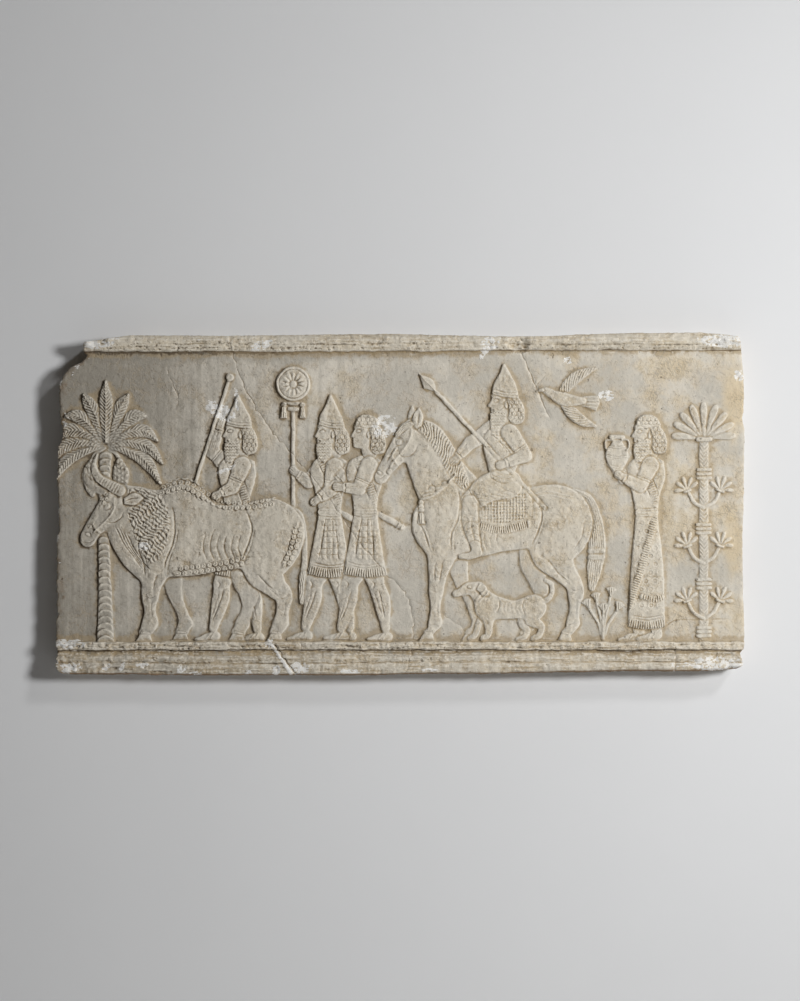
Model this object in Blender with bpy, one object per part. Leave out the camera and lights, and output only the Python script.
"""A plaster cast of a carved wall panel: a procession walks to the left between two moulded
ledges, on a slab whose edges and upper left corner are broken.

Lengths are millimetres on the panel's face, x to the right and y up from its lower left, and
relief is measured out from the plain field behind the figures. The last step turns them into
metres, with the middle of the back at the origin, the front facing -Y and +Z up."""

import bmesh
import bpy
import numpy as np

NAME = "plaster_plaque"

# Slab
WIDTH = 1002.0
HEIGHT = 499.0
FIELD_DEPTH = 36.0  # flat back to plain field
GRID_PITCH = 2.0
FACE_TRIANGLES = 8400
WORN_ARRIS = 3.0  # how far in the broken edge is rounded
WORN_DROP = 2.2
UNDER_ARRIS = 9.0  # how far up the base starts to turn under, to the wall
UNDER_DROP = 24.0

# Broken edges: place along the edge, and how far the plaster is gone there
LEFT_EDGE = [(0, 12), (7, 5), (15, 0), (29, 4), (38, 3), (51, 0), (65, 2), (80, 1), (94, 4), (201, 2),
             (210, 7), (222, 5), (283, 3), (304, 3), (333, 6), (345, 11), (356, 12), (368, 8), (399, 6),
             (413, 5), (429, 8), (437, 14), (446, 19), (449, 23), (455, 38), (461, 43), (466, 47), (469, 42),
             (481, 41), (486, 45), (499, 56)]
RIGHT_EDGE = [(0, 24), (6, 14), (16, 3), (23, 4), (33, 7), (39, 2), (60, 0), (120, 2), (203, 3), (240, 1),
              (357, 0), (374, 4), (384, 1), (436, 1), (452, 3), (470, 4), (480, 6), (499, 12)]
TOP_EDGE = [(0, 16), (50, 13), (84, 8), (110, 4), (255, 5), (391, 3), (501, 2), (559, 4), (660, 6), (733, 5),
            (760, 3), (831, 1), (936, 0), (975, 3), (1002, 8)]
BOTTOM_EDGE = [(0, 2), (30, 1), (62, 0), (110, 2), (140, 0), (330, 0), (560, 0), (640, 1), (760, 3), (900, 5),
               (950, 6), (980, 9), (1002, 11)]

# Ledges, from the bottom up; each starts where the one below it ends
TORUS_TOP, TORUS_RELIEF = 19.4, 8.6
HOLLOW_TOP, HOLLOW_RELIEF, HOLLOW_SLOPE = 38.0, 3.2, 3.0
FILLET_TOP, FILLET_RELIEF = 49.5, 8.0
CORNICE_FOOT, CORNICE_RELIEF = 471.0, 12.0
FOOT_LIFT = (2.2, 560.0, 160.0)  # how far the cornice's foot rises to the right, from where, over what length
LOWER_STEP = (8.0, 3.6)  # relief of the cornice's narrow lower step, left and right
STEP_FADE = (760.0, 170.0)  # where the lower step has faded, and over what length
CORNICE_BEVEL = (486.0, 0.55)  # where its slope starts, and how much of the relief it takes
CUT_WIDTH, CUT_DEPTH = 1.4, 2.2  # the cuts below and above the hollow

# Losses on the ledges: centre, half sizes, depth
CHIPS = [(672, 481, 20, 15, 5.0), (64, 486, 16, 10, 3.0), (84, 10, 26, 5, 2.0), (970, 26, 30, 10, 3.5),
         (960, 486, 26, 9, 2.0), (318, 14, 19, 8, 1.5), (150, 5, 20, 4, 2.0), (985, 8, 20, 8, 4.0)]

# Relief of the figures, before all of it is made shallower by one factor
NEAR = 7.0
FAR = 4.6
SHALLOW = 0.82
STANDING_LINE = 49.5
SPLINE_STEP = 2.5

COLOUR = (0.397, 0.361, 0.301, 1.0)
ROUGHNESS = 0.9


# Shapes on the face, as signed distances

def spline(points):
    """A smooth path through points of any number of columns, the first two being x and y."""
    p = np.asarray(points, float)
    if len(p) < 3:
        return p
    p = np.vstack([2 * p[0] - p[1], p, 2 * p[-1] - p[-2]])
    path = []
    for four in zip(p, p[1:], p[2:], p[3:]):
        gaps = [max(np.hypot(*(b - a)[:2]), 1e-6) for a, b in zip(four, four[1:])]
        knots = np.cumsum([0.0] + [gap ** 0.5 for gap in gaps])
        count = max(1, int(np.ceil(gaps[1] / SPLINE_STEP)))
        t = (knots[1] + (knots[2] - knots[1]) * np.arange(count) / count)[:, None]
        level = list(four)
        for width in (1, 2):
            level = [((knots[i + width] - t) * level[i] + (t - knots[i]) * level[i + 1])
                     / (knots[i + width] - knots[i]) for i in range(len(level) - 1)]
        path.append(((knots[2] - t) * level[0] + (t - knots[1]) * level[1]) / (knots[2] - knots[1]))
    return np.vstack(path + [p[-2][None]])


class Shape:
    """Signed distance to a shape, negative inside, and the box that holds it."""

    def __init__(self, points, reach, distance):
        self.low = points[:, :2].min(0) - reach
        self.high = points[:, :2].max(0) + reach
        self.distance = distance


def tube(points):
    """A rounded limb through points of x, y and radius."""
    path = spline(points)

    def distance(x, y):
        near = np.full(x.shape, np.inf)
        for (ax, ay, ar), (bx, by, br) in zip(path, path[1:]):
            ux, uy = bx - ax, by - ay
            k = np.clip(((x - ax) * ux + (y - ay) * uy) / (ux * ux + uy * uy), 0, 1)
            near = np.minimum(near, np.hypot(x - ax - k * ux, y - ay - k * uy) - ar - k * (br - ar))
        return near

    return Shape(path, path[:, 2].max(), distance)


def outline(*runs):
    """A closed outline of smooth runs that meet in corners."""
    path = np.vstack([spline(run) for run in runs])

    def distance(x, y):
        near = np.full(x.shape, np.inf)
        inside = np.zeros(x.shape, bool)
        for (ax, ay), (bx, by) in zip(path, np.roll(path, -1, 0)):
            ux, uy = bx - ax, by - ay
            px, py = x - ax, y - ay
            k = np.clip((px * ux + py * uy) / max(ux * ux + uy * uy, 1e-9), 0, 1)
            near = np.minimum(near, np.hypot(px - k * ux, py - k * uy))
            if ay != by:
                inside ^= ((ay > y) != (by > y)) & (px < ux * py / uy)
        return np.where(inside, -near, near)

    return Shape(path, 0, distance)


def oval(x0, y0, rx, ry, tilt=0.0):
    c, s = np.cos(tilt), np.sin(tilt)

    def distance(x, y):
        u, v = (x - x0) * c + (y - y0) * s, (y - y0) * c - (x - x0) * s
        return (np.hypot(u / rx, v / ry) - 1) * min(rx, ry)

    return Shape(np.array([[x0, y0]]), max(rx, ry), distance)


def rounded(t):
    t = np.clip(t, 0, 1)
    return np.sqrt(1 - (1 - t) ** 2)


def smooth(t):
    t = np.clip(t, 0, 1)
    return t * t * (3 - 2 * t)


class Place:
    """Where a figure stands, its size and the way it faces (-1 is left)."""

    def __init__(self, x, y=STANDING_LINE, size=1.0, facing=-1, turn=0.0):
        self.x, self.y, self.size, self.facing, self.turn = x, y, size, facing, turn

    def __call__(self, points):
        p = np.array(points, float)
        c, s = np.cos(self.turn), np.sin(self.turn)
        u, v = p[:, 0] * c - p[:, 1] * s, p[:, 0] * s + p[:, 1] * c
        p[:, 0] = self.x + self.facing * self.size * u
        p[:, 1] = self.y + self.size * v
        p[:, 2:] *= self.size
        return p

    def tube(self, *points):
        return tube(self(points))

    def outline(self, *runs):
        return outline(*[self(run) for run in runs])

    def oval(self, x, y, rx, ry=None, tilt=0.0):
        (x, y), = self([(x, y)])
        return oval(x, y, rx * self.size, (ry or rx) * self.size, self.facing * (tilt + self.turn))

    def on(self, x, y, size=1.0, turn=0.0):
        """A place on this figure."""
        (x, y), = self([(x, y)])
        return Place(x, y, self.size * size, self.facing, turn + self.turn)


class Panel:
    """The face as a grid of relief heights."""

    def __init__(self):
        self.nx, self.ny = int(WIDTH / GRID_PITCH) + 1, int(HEIGHT / GRID_PITCH) + 2
        self.height = np.zeros((self.ny, self.nx))

    def window(self, low, high, margin):
        most = (self.nx, self.ny)
        x0, y0 = np.maximum(np.floor((low - margin) / GRID_PITCH).astype(int), 0)
        x1, y1 = np.minimum(np.ceil((high + margin) / GRID_PITCH).astype(int) + 1, most)
        grid = np.meshgrid(np.arange(x0, x1) * GRID_PITCH, np.arange(y0, y1) * GRID_PITCH)
        return (slice(y0, y1), slice(x0, x1)), grid

    def measure(self, shapes, blend, margin):
        """The distance to the shapes together, run into each other over a blend."""
        low = np.min([shape.low for shape in shapes], 0)
        high = np.max([shape.high for shape in shapes], 0)
        where, (x, y) = self.window(low, high, margin)
        together = shapes[0].distance(x, y)
        for shape in shapes[1:]:
            near = shape.distance(x, y)
            k = np.clip(0.5 + 0.5 * (near - together) / blend, 0, 1)
            together = near + (together - near) * k - blend * k * (1 - k)
        return where, together

    def lay(self, shapes, top, edge=4.0, keep=0.45, blend=5.0, belly=0.0, moat=2.5):
        """Lays a form with rounded edges over what is there, in a cut contour."""
        where, gap = self.measure(shapes, blend, 3 * moat)
        under = self.height[where]
        crown = (1 - belly) * rounded(-gap / edge) + belly * rounded(-gap / (6 * edge))
        inside = under * keep + (top - under * keep) * crown
        outside = under * (1 - (1 - keep) * np.exp(-(np.maximum(gap, 0) / moat) ** 2))
        self.height[where] = np.where(gap < 0, inside, outside)

    def swell(self, shape, rise, edge):
        """Raises or sinks what is there, softly."""
        where, gap = self.measure([shape], 1, 2)
        self.height[where] += rise * smooth(-gap / edge)

    def score(self, points, width, depth):
        """Cuts a line, or raises one where the depth is below zero."""
        path = spline(np.array(points)[:, :2])
        self.swell(tube(np.column_stack([path, np.full(len(path), width)])), -depth, width)


# Figures; each takes the panel and a place, with x forward and y up from its feet

def hoof(panel, at, x, top=NEAR):
    panel.lay([at.outline([(x, 12), (x + 11, 14)], [(x + 20, 0), (x - 3, 0)])], top, 3, keep=0.6)


def tassel(panel, at, x, y, beads=3):
    for k in range(beads):
        panel.lay([at.oval(x, y - 5.5 * k, 4)], 9, 3, keep=0.7, moat=1.5)
    top = y - 5.5 * beads + 2
    panel.lay([at.outline([(x - 2.5, top), (x - 5, top - 16)], [(x + 5, top - 16), (x + 2.5, top)])], 8.8, 2.5)


def horse(panel, at):
    far_legs = [[at.tube((70, 135, 26), (62, 108, 15), (56, 84, 10.5), (46, 60, 7), (38, 38, 6.5), (33, 27, 8)),
                 at.tube((33, 27, 7.5), (39, 17, 6), (44, 11, 7.5))],
                [at.tube((-60, 138, 36), (-46, 108, 19), (-52, 84, 12.5), (-56, 72, 11.5), (-50, 50, 7),
                         (-44, 27, 8)),
                 at.tube((-44, 27, 7.5), (-38, 17, 6), (-33, 11, 7.5))]]
    for leg_shapes, foot in zip(far_legs, (38, -39)):
        panel.lay(leg_shapes, FAR)
        hoof(panel, at, foot, FAR)
    panel.lay([at.tube((-104, 208, 8), (-120, 200, 9), (-131, 172, 11), (-135, 136, 12.5), (-131, 102, 10.5),
                       (-128, 76, 5))], 5.6, 5)
    for y in (128, 119):
        panel.lay([at.tube((-143, y, 3.4), (-124, y, 3.4))], 6.6, 2.5, keep=0.7)
    panel.lay([at.outline([(120, 306), (119, 322), (126, 334)], [(126, 334), (131, 322), (131, 304)])], 5.2, 3)
    trunk = at.tube((84, 168, 42), (52, 168, 50), (5, 170, 44), (-40, 174, 42), (-78, 176, 45), (-92, 172, 36))
    neck = at.tube((60, 192, 46), (84, 226, 39), (103, 258, 31), (116, 284, 24), (124, 298, 16))
    crest = at.tube((50, 212, 14), (70, 248, 16), (92, 284, 15), (114, 300, 12))
    head = at.tube((124, 294, 16), (134, 280, 19), (149, 262, 14.5), (163, 243, 10.5), (170, 232, 9.5))
    fore = at.tube((90, 158, 32), (84, 128, 22), (88, 104, 15), (91, 80, 11), (92, 70, 10.5), (93, 50, 7),
                   (93, 27, 8.5))
    fore_pastern = at.tube((93, 27, 8), (98, 17, 6.5), (103, 11, 7.5))
    hind = at.tube((-84, 158, 42), (-72, 128, 31), (-86, 102, 18), (-103, 80, 12.5), (-105, 70, 12),
                   (-103, 48, 7.5), (-101, 27, 8.5))
    hind_pastern = at.tube((-101, 27, 8), (-96, 17, 6.5), (-91, 11, 7.5))
    body = [trunk, neck, crest, head, fore, fore_pastern, hind, hind_pastern]
    panel.lay(body, NEAR, belly=0.3, blend=7)
    for foot in (97, -97):
        hoof(panel, at, foot)
    panel.swell(at.tube((92, 178, 26), (86, 150, 20), (86, 128, 12)), 1.4, 16)
    panel.swell(at.tube((-88, 180, 30), (-80, 150, 26), (-78, 125, 14)), 1.4, 20)
    for line in ([(62, 218), (58, 196), (62, 172), (71, 148), (71, 128)],
                 [(112, 190), (115, 170), (107, 150), (101, 128)],
                 [(-50, 208), (-57, 182), (-52, 158), (-43, 136)], [(146, 268), (132, 261), (118, 278)]):
        panel.score(at(line), 2, 1.1)
    mane = at.tube((118, 308, 7), (98, 296, 12), (78, 268, 13), (62, 240, 12), (52, 222, 7))
    panel.lay([mane], 8, 3, keep=0.75)
    panel.lay([at.oval(144, 281, 5.2, 3.4, -0.9)], 8, 3, keep=0.75, moat=1.5)
    ear = at.outline([(112, 304), (110, 318), (116, 331)], [(116, 331), (124, 320), (125, 304), (118, 300)])
    panel.lay([ear], 7.8, 3, keep=0.5)
    for strap in ([(124, 306), (136, 294), (147, 290)], [(148, 272), (154, 262), (146, 249)],
                  [(126, 303), (127, 290), (140, 268), (151, 255), (160, 239)]):
        panel.score(at(strap), 2.6, -1.3)
    for k in range(3):
        strap = [(64 + 5 * k, 236 - 6 * k), (84 + 5 * k, 219 - 6 * k), (106 + 4 * k, 212 - 6 * k)]
        panel.score(at(strap), 2.8, -1.5)
    tassel(panel, at, 113, 196)
    cloth = at.outline([(40, 221), (38, 190), (34, 158)], [(34, 158), (0, 152), (-40, 160)],
                       [(-40, 160), (-44, 190), (-40, 219)], [(-40, 219), (0, 212), (40, 221)])
    panel.lay([cloth], 8.4, 2.5, keep=0.8)
    inner = at.outline([(33, 214), (31, 190), (28, 172)], [(28, 172), (0, 166), (-33, 173)],
                       [(-33, 173), (-37, 190), (-34, 212)], [(-34, 212), (0, 205), (33, 214)])
    panel.swell(inner, -0.9, 1.2)


def bull(panel, at):
    far_legs = [[at.tube((60, 105, 24), (52, 84, 14), (48, 62, 10), (40, 42, 7), (34, 24, 8.5)),
                 at.tube((34, 24, 8), (39, 12, 8.5))],
                [at.tube((-56, 112, 30), (-42, 84, 17), (-48, 60, 12), (-46, 42, 7.5), (-40, 24, 9)),
                 at.tube((-40, 24, 8), (-34, 12, 8.5))]]
    for leg_shapes, foot in zip(far_legs, (33, -40)):
        panel.lay(leg_shapes, FAR)
        hoof(panel, at, foot, FAR)
    panel.lay([at.tube((-98, 172, 6), (-112, 166, 4.5), (-119, 140, 4), (-120, 104, 4), (-119, 86, 5))], 5.6)
    panel.lay([at.tube((-119, 86, 6), (-121, 70, 9), (-118, 52, 4))], 6.2)
    panel.lay([at.tube((134, 194, 6), (149, 198, 5.2), (161, 208, 4), (164, 224, 2))], FAR, 3)
    trunk = at.tube((70, 128, 42), (40, 134, 50), (-5, 134, 43), (-48, 138, 41), (-78, 142, 42), (-86, 136, 32))
    hump = at.tube((62, 178, 20), (36, 180, 24), (14, 172, 16))
    neck = at.tube((70, 148, 44), (92, 166, 34), (112, 178, 25))
    dewlap = at.tube((128, 158, 9), (119, 138, 15), (105, 116, 17), (90, 96, 15), (80, 86, 12))
    head = at.tube((116, 180, 21), (132, 170, 18), (148, 153, 13.5), (157, 141, 11.5), (161, 133, 10.5))
    fore = at.tube((76, 120, 28), (74, 92, 18), (78, 72, 13), (80, 58, 11.5), (80, 44, 8), (80, 24, 9.5))
    fore_pastern = at.tube((80, 24, 8.5), (86, 12, 8.5))
    hind = at.tube((-76, 124, 38), (-66, 96, 26), (-80, 74, 16), (-92, 60, 12.5), (-92, 42, 8.5),
                   (-89, 24, 9.5))
    hind_pastern = at.tube((-89, 24, 8.5), (-83, 12, 8.5))
    body = [trunk, hump, neck, dewlap, head, fore, fore_pastern, hind, hind_pastern]
    panel.lay(body, NEAR, belly=0.3, blend=7)
    for foot in (80, -89):
        hoof(panel, at, foot)
    panel.swell(at.tube((74, 140, 24), (72, 112, 18), (76, 88, 10)), 1.4, 16)
    panel.swell(at.tube((-78, 146, 28), (-70, 112, 22), (-74, 88, 12)), 1.4, 18)
    for line in ([(52, 178), (48, 156), (50, 130), (60, 104), (62, 88)],
                 [(94, 140), (95, 122), (88, 100), (87, 84)],
                 [(-44, 172), (-52, 148), (-46, 124), (-38, 104)], [(138, 156), (118, 160), (113, 170)]):
        panel.score(at(line), 2, 1.1)
    for curled in (at.tube((84, 190, 6), (62, 198, 9), (36, 203, 10), (10, 190, 8), (-14, 178, 7),
                           (-44, 177, 7), (-80, 182, 6)),
                   at.tube((44, 91, 7), (10, 95, 8), (-24, 100, 8), (-44, 107, 6)),
                   at.tube((-112, 150, 6), (-106, 124, 8), (-96, 100, 6)),
                   at.outline([(112, 199), (92, 196), (76, 184), (70, 160), (74, 138)],
                              [(88, 134), (100, 142), (112, 166), (106, 184)])):
        panel.swell(curled, 1.2, 1.6)
    panel.lay([at.oval(135, 175, 4.8, 3.2, -0.8)], 8, 2.5, keep=0.75, moat=1.5)
    panel.lay([at.tube((119, 196, 7.5), (133, 204, 6.6), (147, 213, 5.4), (153, 229, 3.6), (148, 243, 1.6))],
              8, 3.5, keep=0.5)
    ear = at.outline([(115, 186), (100, 193), (88, 186)], [(88, 186), (99, 177), (114, 178)])
    panel.lay([ear], 8.4, 3, keep=0.4)
    panel.score(at([(126, 186), (127, 170), (138, 156), (152, 142)]), 2.4, -1.2)


def hound(panel, at):
    panel.lay([at.tube((20, 40, 9), (32, 24, 5), (37, 9, 3.8), (44, 4, 3.8))], 5.4, 3)
    panel.lay([at.tube((-34, 42, 12), (-24, 26, 7), (-30, 15, 4.4), (-26, 6, 4), (-19, 4, 3.8))], 5.4, 3)
    panel.lay([at.tube((-48, 50, 4), (-60, 58, 3.4), (-62, 74, 3), (-53, 80, 2.4))], 6, 2.5)
    trunk = at.tube((-38, 46, 15), (-14, 42, 12), (10, 44, 15), (22, 46, 17))
    neck = at.tube((24, 52, 14), (35, 64, 10))
    head = at.tube((34, 69, 9.5), (45, 69, 8), (56, 64, 5.4), (63, 62, 4.8))
    fore = at.tube((22, 42, 13), (20, 24, 6.5), (21, 9, 4.4), (27, 4.5, 4.4))
    hind = at.tube((-40, 44, 15), (-36, 30, 9.5), (-48, 19, 5.2), (-45, 8, 4.4), (-38, 4.5, 4.4))
    panel.lay([trunk, neck, head, fore, hind], 7.2, belly=0.3, blend=4, keep=0.55)
    panel.lay([at.outline([(32, 76), (24, 72), (20, 60)], [(28, 59), (36, 68)])], 8.2, 2.5, keep=0.5)


def face(panel, at, cap, beard):
    """A head in profile with its hair, beard and cap; the chin is at the place."""
    profile = at.outline([(14.5, 37), (17.6, 30), (16.8, 26.4), (22.6, 16.6), (18.2, 14), (19, 11.6),
                          (18.8, 8.2), (17.2, 6.2), (17.8, 3.2), (15.5, -0.5), (8, -1.5), (-14, 10),
                          (-20, 22), (-19, 36), (-8, 45), (6, 44), (14.5, 37)])
    panel.lay([profile, at.tube((-4, 14, 13), (-6, -6, 12))], NEAR, keep=0.5, blend=2, moat=2)
    panel.lay([at.outline([(-5, 27), (-18, 31), (-27, 20), (-30, 6), (-27, -7), (-14, -10), (-7, -2), (-8, 12),
                           (-5, 27)])], 7.8, 3, keep=0.6)
    if beard:
        panel.lay([at.outline([(0, 14), (5, 10), (15, 13)], [(16, 6.5), (19, 6)], [(19.6, -6), (17, -21)],
                              [(3, -22), (-3, -8), (-3, 6), (0, 14)])], 8.4, 2.5, keep=0.6)
    if cap == "pointed":
        hat = at.outline([(16.5, 33), (14, 46), (6, 62), (1, 76)], [(-2, 76), (-12, 58), (-19, 44), (-22, 27)],
                         [(-22, 27), (-4, 28), (16.5, 33)])
        panel.lay([hat], 8.4, keep=0.6)
    else:
        crown = at.outline([(15, 34), (12, 43), (0, 48), (-14, 44), (-21, 32)], [(-21, 32), (-3, 30), (15, 34)])
        panel.lay([crown], 7.8, 3, keep=0.6)


def arm(panel, at, joints, top):
    """An arm through its shoulder, elbow and wrist, with a closed hand."""
    shoulder, elbow, wrist = np.array(joints, float)
    upper = at.tube((*shoulder, 14), (*(shoulder + elbow) / 2, 12.5), (*elbow, 10))
    fore = at.tube((*elbow, 10), (*(elbow + wrist) / 2, 9), (*wrist, 5.6))
    panel.lay([upper, fore], top, keep=0.55, blend=3)
    along = (wrist - elbow) / np.hypot(*(wrist - elbow))
    hand = at.tube((*(wrist - 3 * along), 5), (*(wrist + 5 * along), 6.2))
    panel.lay([hand], top + 0.2, 3, keep=0.6, moat=1.6)


def leg(panel, at, hip, knee, ankle, top):
    hip, knee, ankle = np.array([hip, knee, ankle], float)
    calf = knee * 0.65 + ankle * 0.35 - (3, 0)
    heel = ankle[0]
    thigh = at.tube((*hip, 19), (*(hip + knee) / 2, 16), (*knee, 11.5))
    shin = at.tube((*knee, 11.5), (*calf, 12.5), (*ankle, 6.6))
    foot = at.tube((heel - 3, 7.5, 7.5), (heel + 8, 6.5, 6), (heel + 24, 3.4, 3.4))
    panel.lay([thigh, shin, foot], top, keep=0.5, blend=3)


def man(panel, at, near_arm, far_arm, robed=False, cap="pointed", beard=True, held=None):
    """A walking attendant; held draws what the far hand holds."""
    arm(panel, at, far_arm, 5.6)
    if robed:
        for x, top in ((14, 5.4), (-12, NEAR)):
            panel.lay([at.tube((x - 2, 24, 8), (x - 3, 8, 8), (x + 8, 6.5, 6), (x + 24, 3.4, 3.4))], top, 3)
        skirt = at.outline([(15, 190), (21, 120), (27, 22)], [(27, 22), (0, 18), (-28, 21)],
                           [(-28, 21), (-25, 110), (-17, 190)])
        hem = 21
    else:
        leg(panel, at, (6, 120), (22, 84), (34, 20), 5.4)
        leg(panel, at, (-6, 120), (-16, 84), (-30, 20), NEAR)
        skirt = at.outline([(15, 190), (22, 150), (32, 98)], [(32, 98), (0, 93), (-32, 97)],
                           [(-32, 97), (-24, 145), (-17, 190)])
        hem = 97
        panel.lay([at.tube((-8, 192, 4), (-30, 180, 4.4), (-54, 166, 4))], 5.6, 3, keep=0.6, moat=1.8)
    chest = at.outline([(15, 186), (20, 215), (27, 246), (22, 262), (8, 270)],
                       [(8, 270), (-10, 270), (-26, 262)],
                       [(-26, 262), (-28, 240), (-20, 210), (-17, 186)])
    panel.lay([skirt, chest], NEAR, belly=0.3, blend=3)
    panel.score(at([(-26, hem + 15), (0, hem + 11), (26, hem + 15)]), 1.6, 1)
    panel.lay([at.tube((-13, 188, 5.5), (0, 187, 5.5), (11, 188, 5.5))], 8.2, 2.5, keep=0.75, moat=1.2)
    face(panel, at.on(-1, 282), cap, beard)
    if held:
        held(panel, at)
    arm(panel, at, near_arm, 8.4)


def rider(panel, at):
    """Sits on the horse's cloth, from the horse's own place."""
    arm(panel, at, ((12, 300), (44, 280), (64, 258)), 6.4)
    chest = at.outline([(14, 224), (20, 250), (26, 280), (20, 296), (6, 304)],
                       [(6, 304), (-12, 304), (-27, 296)],
                       [(-27, 296), (-29, 270), (-20, 240), (-22, 216)], [(-22, 216), (-4, 212), (14, 224)])
    panel.lay([chest], 8.2, belly=0.3, keep=0.7)
    panel.lay([at.tube((-10, 222, 20), (16, 218, 20), (42, 198, 15))], 9, keep=0.7)
    shin = at.tube((44, 196, 11), (44, 168, 11.5), (36, 132, 7))
    foot = at.tube((34, 126, 7), (44, 121, 5.5), (58, 120, 3.6))
    panel.lay([shin, foot], 9.4, keep=0.6, blend=3)
    panel.lay([at.tube((-17, 232, 5), (-3, 229, 5), (11, 234, 5))], 9, 2.5, keep=0.75, moat=1.2)
    face(panel, at.on(-3, 316), "pointed", True)
    panel.lay([at.tube((-62, 188, 2.8), (92, 352, 2.8))], 6.8, 2.6, keep=0.6, moat=1.6)
    panel.lay([at.outline([(92, 352), (96, 368), (116, 378)], [(110, 357), (92, 352)])], 7, 3, keep=0.6)
    arm(panel, at, ((-12, 294), (-34, 262), (-2, 250)), 9.6)


def palm(panel, at, height=286.0, fronds=11):
    panel.lay([at.tube((0, 0, 13), (1, 60, 10), (3, 160, 8.5), (0, height, 9))], 6.2, 6)
    for side in (-1, 1):
        bunch = at.tube((20 * side, height - 26, 6), (22 * side, height - 42, 12),
                        (21 * side, height - 62, 9), (20 * side, height - 72, 4))
        panel.lay([bunch], 7.4, 6)
    middle = (fronds - 1) / 2
    for k in sorted(range(fronds), key=lambda k: -abs(k - middle)):
        angle = np.pi * (0.5 + 0.59 * (k - middle) / middle)
        c, s = np.cos(angle), np.sin(angle)
        reach = 92 - 10 * abs(c)
        droop = 34 * abs(c) ** 1.2
        frond = at.tube((6 * c, height + 6 * s, 4), (0.4 * reach * c, height + 0.42 * reach * s + 3, 9),
                        (0.75 * reach * c, height + 0.75 * reach * s - droop * 0.25, 9.5),
                        (reach * c, height + reach * s - droop, 2.5))
        panel.lay([frond], 6.6, 5, keep=0.5)


def palmette(panel, at, petals, reach, spread):
    middle = (petals - 1) / 2
    for k in sorted(range(petals), key=lambda k: -abs(k - middle)):
        angle = np.pi / 2 + 0.5 * spread * (k - middle) / middle
        c, s = np.cos(angle), np.sin(angle)
        r = reach * (1 - 0.24 * abs(k - middle) / petals)
        petal = at.tube((3 * c, 3 * s, 2), (0.5 * r * c, 0.5 * r * s, 3.6), (0.86 * r * c, 0.86 * r * s, 5),
                        (r * c, r * s, 3.8))
        panel.lay([petal], 7.4, keep=0.35, moat=1.6)
    panel.lay([at.tube((-8, -2, 3), (8, -2, 3))], 8.4, 2.5, keep=0.6)


def sacred_tree(panel, at, height=300):
    panel.lay([at.tube((0, 0, 7), (0, height, 7))], 6, 5)
    for y in (14, 84, 164, 244):
        panel.lay([at.tube((-7, y, 8), (7, y, 8))], 7.8, 2.5, keep=0.6)
    for y in (60, 140, 220):
        for side in (-1, 1):
            stalk = at.tube((0, y - 26, 2.6), (side * 14, y - 18, 2.6), (side * 22, y - 4, 2.6))
            panel.lay([stalk], 6.4, 2.4, keep=0.5)
            palmette(panel, at.on(side * 24, y, 0.62, -side * 0.35), 5, 30, 2.5)
    palmette(panel, at.on(0, height - 4, 1.1), 9, 44, 3)


def staff(panel, at):
    panel.lay([at.tube((60, 232, 2.5), (10, 384, 2.5))], 6.2, 2.5, keep=0.6, moat=1.6)
    panel.lay([at.oval(10, 384, 6)], 7.4, keep=0.5)


def jar(panel, at):
    neck = at.on(42, 262)
    panel.lay([neck.outline([(-7, 34), (-9, 26), (-16, 16), (-17, 4), (-10, -10), (-5, -16)],
                            [(5, -16), (10, -10), (17, 4), (16, 16), (9, 26), (7, 34)])], 7.6, 6, keep=0.5)
    panel.lay([neck.tube((-9, 35, 3), (9, 35, 3))], 8.4, 2.5, keep=0.5)
    for side in (-1, 1):
        panel.score(neck([(7 * side, 31), (16 * side, 30), (17 * side, 20), (14 * side, 16)]), 2.4, -2.6)


def standard(panel, at, low=150, high=352, disc=25):
    """A pole that carries a disc over two tassels."""
    panel.lay([at.tube((0, low, 3), (0, high, 3))], 5.6, 3, keep=0.6)
    panel.lay([at.oval(0, high + disc - 3, disc)], 7, 3, keep=0.5)
    panel.lay([at.oval(0, high + disc - 3, disc * 0.2)], 7.6, 3, keep=0.4)
    for side in (-1, 1):
        tassel(panel, at, 14 * side, high - 8, beads=1)


def bird(panel, at):
    """A bird in flight with its wings swept back."""
    for wing, top in ((at.tube((6, 4, 7), (-4, 24, 9), (-20, 40, 8), (-40, 52, 2)), 4.8),
                      (at.tube((2, -2, 8), (-12, -18, 9.5), (-30, -30, 8), (-52, -36, 2)), 7.2)):
        panel.lay([wing], top, keep=0.5)
    tail = at.outline([(-18, 5), (-50, 12)], [(-50, 12), (-54, 0), (-50, -12)], [(-50, -12), (-18, -6)])
    panel.lay([tail], 5.6, 3)
    body = at.tube((22, 5, 6), (6, 0, 10), (-14, -1, 8.5), (-28, 0, 5))
    head = at.tube((24, 7, 6.5), (31, 9, 5.5))
    panel.lay([body, head], 7, 5, keep=0.5, blend=3)


def reeds(panel, at, height=66):
    """A clump of flowering reeds."""
    for lean, reach in ((-0.42, 0.74), (0.4, 0.8), (-0.16, 1.0), (0.16, 0.88), (0, 0.62)):
        x, y = height * reach * np.sin(lean), height * reach * np.cos(lean)
        panel.lay([at.tube((0, 0, 2.2), (0.3 * x, 0.5 * y, 2), (x, y, 2))], 4.6, 2, keep=0.6, moat=1.6)
        bell = at.on(x, y, 1, -lean).outline([(-1.5, 0), (-4, 6), (-8, 12)], [(-8, 12), (0, 15), (8, 12)],
                                             [(8, 12), (4, 6), (1.5, 0)])
        panel.lay([bell], 6.4, 3, keep=0.5, moat=1.6)


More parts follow.
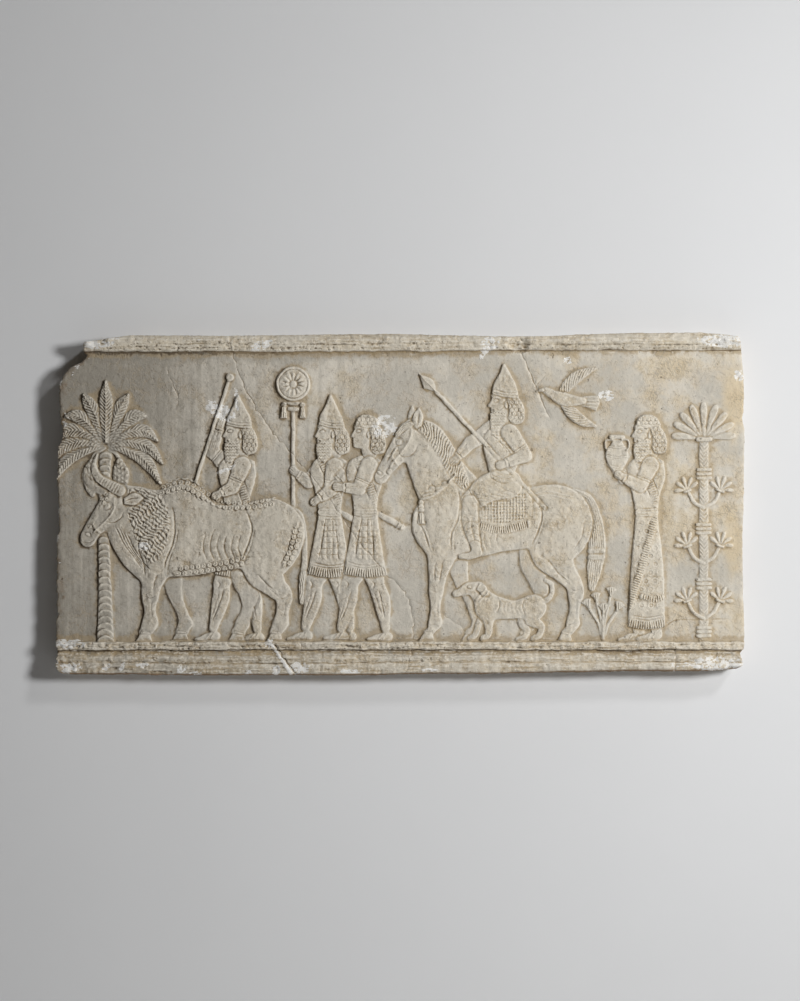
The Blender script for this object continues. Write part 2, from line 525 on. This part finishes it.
def procession(panel):
    palm(panel, Place(74))
    man(panel, Place(264), ((-8, 256), (6, 224), (26, 214)), ((14, 258), (36, 276), (24, 314)), held=staff)
    standard(panel, Place(346))
    bull(panel, Place(228, size=1.12))
    man(panel, Place(398), ((-8, 254), (-2, 220), (18, 206)), ((10, 256), (30, 232), (48, 246)))
    man(panel, Place(450), ((-6, 256), (8, 222), (36, 224)), ((10, 256), (32, 240), (42, 230)), cap="band",
        beard=False)
    mounted = Place(648, size=1.03)
    horse(panel, mounted)
    rider(panel, mounted)
    hound(panel, Place(652, size=1.12))
    bird(panel, Place(740, 402, 0.95, turn=0.12))
    reeds(panel, Place(796))
    man(panel, Place(858), ((-6, 256), (8, 226), (36, 240)), ((10, 256), (32, 238), (48, 256)), robed=True,
        cap="band", held=jar)
    sacred_tree(panel, Place(942))


def ledges(panel):
    """A rounded base, a sloping hollow and a fillet below, and a stepped, bevelled ledge above."""
    y = (np.arange(panel.ny) * GRID_PITCH)[:, None]
    x = np.arange(panel.nx) * GRID_PITCH
    torus = TORUS_RELIEF * (0.4 + 0.6 * rounded((TORUS_TOP - y) / 7))
    hollow = HOLLOW_RELIEF + HOLLOW_SLOPE * smooth((HOLLOW_TOP - y) / 11)
    fillet = FILLET_RELIEF * rounded((FILLET_TOP + 1 - y) / 2.5)
    left, right = LOWER_STEP
    step = right + (left - right) * smooth((STEP_FADE[0] - x) / STEP_FADE[1])
    rise, start, length = FOOT_LIFT
    foot = CORNICE_FOOT + rise * smooth((x - start) / length)
    bevel = 1 - CORNICE_BEVEL[1] * smooth((y - CORNICE_BEVEL[0]) / (HEIGHT - CORNICE_BEVEL[0]))
    cornice = (step + (CORNICE_RELIEF - step) * smooth((y - foot + 1) / 15)) * bevel
    bands = [np.broadcast_to(level, panel.height.shape) for level in (torus, hollow, fillet, cornice)]
    inside = [y < TORUS_TOP, y < HOLLOW_TOP, y <= FILLET_TOP, y >= foot]
    panel.height = np.select(inside, bands, panel.height)
    for line in (TORUS_TOP, HOLLOW_TOP):
        panel.height -= CUT_DEPTH * np.exp(-((y - line) / CUT_WIDTH) ** 2)


def break_off(panel):
    """Takes the chips out of the ledges."""
    for x, y, rx, ry, depth in CHIPS:
        panel.swell(oval(x, y, rx, ry), -depth, min(rx, ry) * 0.6)


# The slab

def edge(pairs, along):
    places, gone = zip(*pairs)
    return np.interp(along, places, gone)


def face_grid():
    """Points across the face out to its broken edges, with how far in and how far up each one is."""
    u, v = np.meshgrid(np.linspace(0, 1, int(WIDTH / GRID_PITCH)), np.linspace(0, 1, int(HEIGHT / GRID_PITCH)))
    y = v * HEIGHT
    for _ in range(3):  # the sides depend on the height, and the height on the sides
        left = edge(LEFT_EDGE, y)
        right = WIDTH - edge(RIGHT_EDGE, y)
        x = left + u * (right - left)
        low = edge(BOTTOM_EDGE, x)
        high = HEIGHT - edge(TOP_EDGE, x)
        y = low + v * (high - low)
    return x, y, np.minimum(np.minimum(x - left, right - x), high - y), y - low


def sample(height, x, y):
    """The relief between the grid's points."""
    i, j = np.floor(x / GRID_PITCH).astype(int), np.floor(y / GRID_PITCH).astype(int)
    i, j = np.minimum(i, height.shape[1] - 2), np.minimum(j, height.shape[0] - 2)
    s, t = x / GRID_PITCH - i, y / GRID_PITCH - j
    lower = height[j, i] * (1 - s) + height[j, i + 1] * s
    upper = height[j + 1, i] * (1 - s) + height[j + 1, i + 1] * s
    return lower * (1 - t) + upper * t


def carved_face():
    """The front of the cast as an open mesh."""
    panel = Panel()
    procession(panel)
    panel.height *= SHALLOW
    ledges(panel)
    break_off(panel)
    x, y, inside, up = face_grid()
    relief = sample(panel.height, x, y)
    relief -= WORN_DROP * (1 - rounded(inside / WORN_ARRIS)) + UNDER_DROP * (1 - rounded(up / UNDER_ARRIS))
    points = np.stack([x - WIDTH / 2, -FIELD_DEPTH - relief, y - HEIGHT / 2], -1) / 1000
    rows, columns = x.shape
    first = np.arange(rows * columns).reshape(rows, columns)
    quads = np.stack([first[:-1, :-1], first[:-1, 1:], first[1:, 1:], first[1:, :-1]], -1).reshape(-1, 4)
    mesh = bpy.data.meshes.new(NAME)
    mesh.from_pydata(points.reshape(-1, 3).tolist(), [], quads.tolist())
    return mesh, 2 * len(quads)


def thinned(obj, ratio):
    """Keeps the triangles that the relief needs."""
    thin = obj.modifiers.new("Thin", "DECIMATE")
    thin.ratio = ratio
    thin.use_collapse_triangulate = True
    evaluated = obj.evaluated_get(bpy.context.evaluated_depsgraph_get())
    mesh = bpy.data.meshes.new_from_object(evaluated)
    obj.modifiers.remove(thin)
    obj.data = mesh


def trim(mesh):
    """Takes off what thinning pushed past the block that the slab was cast as."""
    x, y, z = WIDTH / 2000, (FIELD_DEPTH + CORNICE_RELIEF) / 1000, HEIGHT / 2000
    for vert in mesh.vertices:
        vert.co = (max(-x, min(x, vert.co.x)), max(-y, vert.co.y), max(-z, min(z, vert.co.z)))


def close_back(mesh):
    """Draws the outline straight back to the wall's plane and fills it."""
    bm = bmesh.new()
    bm.from_mesh(mesh)
    rim = [line for line in bm.edges if line.is_boundary]
    grown = bmesh.ops.extrude_edge_only(bm, edges=rim)["geom"]
    for vert in grown:
        if isinstance(vert, bmesh.types.BMVert):
            vert.co.y = 0
    back = [line for line in grown if isinstance(line, bmesh.types.BMEdge) and line.is_boundary]
    bmesh.ops.triangle_fill(bm, use_beauty=True, edges=back)
    bmesh.ops.triangulate(bm, faces=bm.faces)
    bmesh.ops.recalc_face_normals(bm, faces=bm.faces)
    bm.to_mesh(mesh)
    bm.free()


def plaster():
    material = bpy.data.materials.new("aged_plaster")
    material.use_nodes = True
    shader = material.node_tree.nodes["Principled BSDF"]
    shader.inputs["Base Color"].default_value = COLOUR
    shader.inputs["Roughness"].default_value = ROUGHNESS
    shader.inputs["Metallic"].default_value = 0
    return material


def build():
    for obj in list(bpy.data.objects):
        bpy.data.objects.remove(obj)
    mesh, triangles = carved_face()
    slab = bpy.data.objects.new(NAME, mesh)
    bpy.context.scene.collection.objects.link(slab)
    thinned(slab, FACE_TRIANGLES / triangles)
    trim(slab.data)
    close_back(slab.data)
    slab.data.materials.append(plaster())


build()
